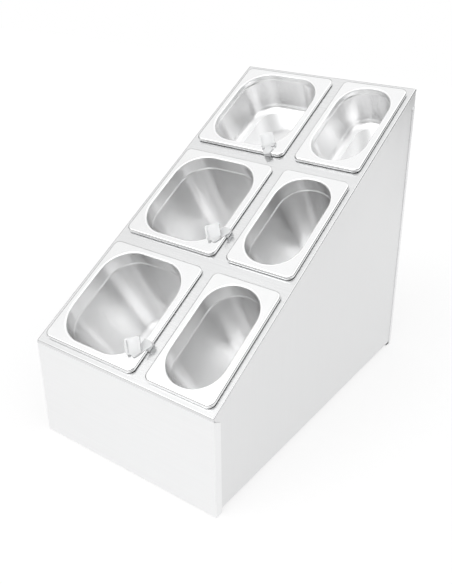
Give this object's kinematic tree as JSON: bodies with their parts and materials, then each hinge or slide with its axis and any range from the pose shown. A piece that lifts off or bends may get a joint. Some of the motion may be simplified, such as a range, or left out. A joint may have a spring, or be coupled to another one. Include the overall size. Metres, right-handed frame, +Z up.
{
  "type": "condiment holder",
  "caption": "Countertop steel stand with a sloping deck that holds lift-out condiment pans in rows, with clear label clips hooked over pan rims.",
  "frame": {"origin": "on the floor under the middle of the stand's outline", "axes": "+X to the user's right, +Y from the low front to the high back, +Z up"},
  "size_m": [0.308, 0.5102, 0.4478],
  "materials": {
    "stand_steel": "satin, fine straight grain",
    "pan_steel": "satin, as drawn",
    "clear_plastic": "clear, polished"
  },
  "bodies": {
    "stand": {"deck_panel": "stand_steel", "left_side_panel": "stand_steel", "right_side_panel": "stand_steel", "front_panel": "stand_steel", "back_panel": "stand_steel"},
    "front_left_pan_body": {"front_left_pan": "pan_steel"},
    "front_right_pan_body": {"front_right_pan": "pan_steel"},
    "middle_left_pan_body": {"middle_left_pan": "pan_steel"},
    "middle_right_pan_body": {"middle_right_pan": "pan_steel"},
    "back_left_pan_body": {"back_left_pan": "pan_steel"},
    "back_right_pan_body": {"back_right_pan": "pan_steel"},
    "front_label_clip_body": {"front_label_clip": "clear_plastic"},
    "middle_label_clip_body": {"middle_label_clip": "clear_plastic"},
    "back_label_clip_body": {"back_label_clip": "clear_plastic"}
  },
  "joints": [
    {"name": "front_left_pan_lift", "type": "slide", "parent": "stand", "child": "front_left_pan_body", "axis": [0, -0.5015, 0.8652], "range_m": [0, 0.17]},
    {"name": "front_right_pan_lift", "type": "slide", "parent": "stand", "child": "front_right_pan_body", "axis": [0, -0.5015, 0.8652], "range_m": [0, 0.17]},
    {"name": "middle_left_pan_lift", "type": "slide", "parent": "stand", "child": "middle_left_pan_body", "axis": [0, -0.5015, 0.8652], "range_m": [0, 0.17]},
    {"name": "middle_right_pan_lift", "type": "slide", "parent": "stand", "child": "middle_right_pan_body", "axis": [0, -0.5015, 0.8652], "range_m": [0, 0.17]},
    {"name": "back_left_pan_lift", "type": "slide", "parent": "stand", "child": "back_left_pan_body", "axis": [0, -0.5015, 0.8652], "range_m": [0, 0.085]},
    {"name": "back_right_pan_lift", "type": "slide", "parent": "stand", "child": "back_right_pan_body", "axis": [0, -0.5015, 0.8652], "range_m": [0, 0.085]},
    {"name": "front_label_clip_lift", "type": "slide", "parent": "front_left_pan_body", "child": "front_label_clip_body", "axis": [0, -0.5015, 0.8652], "range_m": [0, 0.03]},
    {"name": "middle_label_clip_lift", "type": "slide", "parent": "middle_left_pan_body", "child": "middle_label_clip_body", "axis": [0, -0.5015, 0.8652], "range_m": [0, 0.03]},
    {"name": "back_label_clip_lift", "type": "slide", "parent": "back_left_pan_body", "child": "back_label_clip_body", "axis": [0, -0.5015, 0.8652], "range_m": [0, 0.03]}
  ]
}
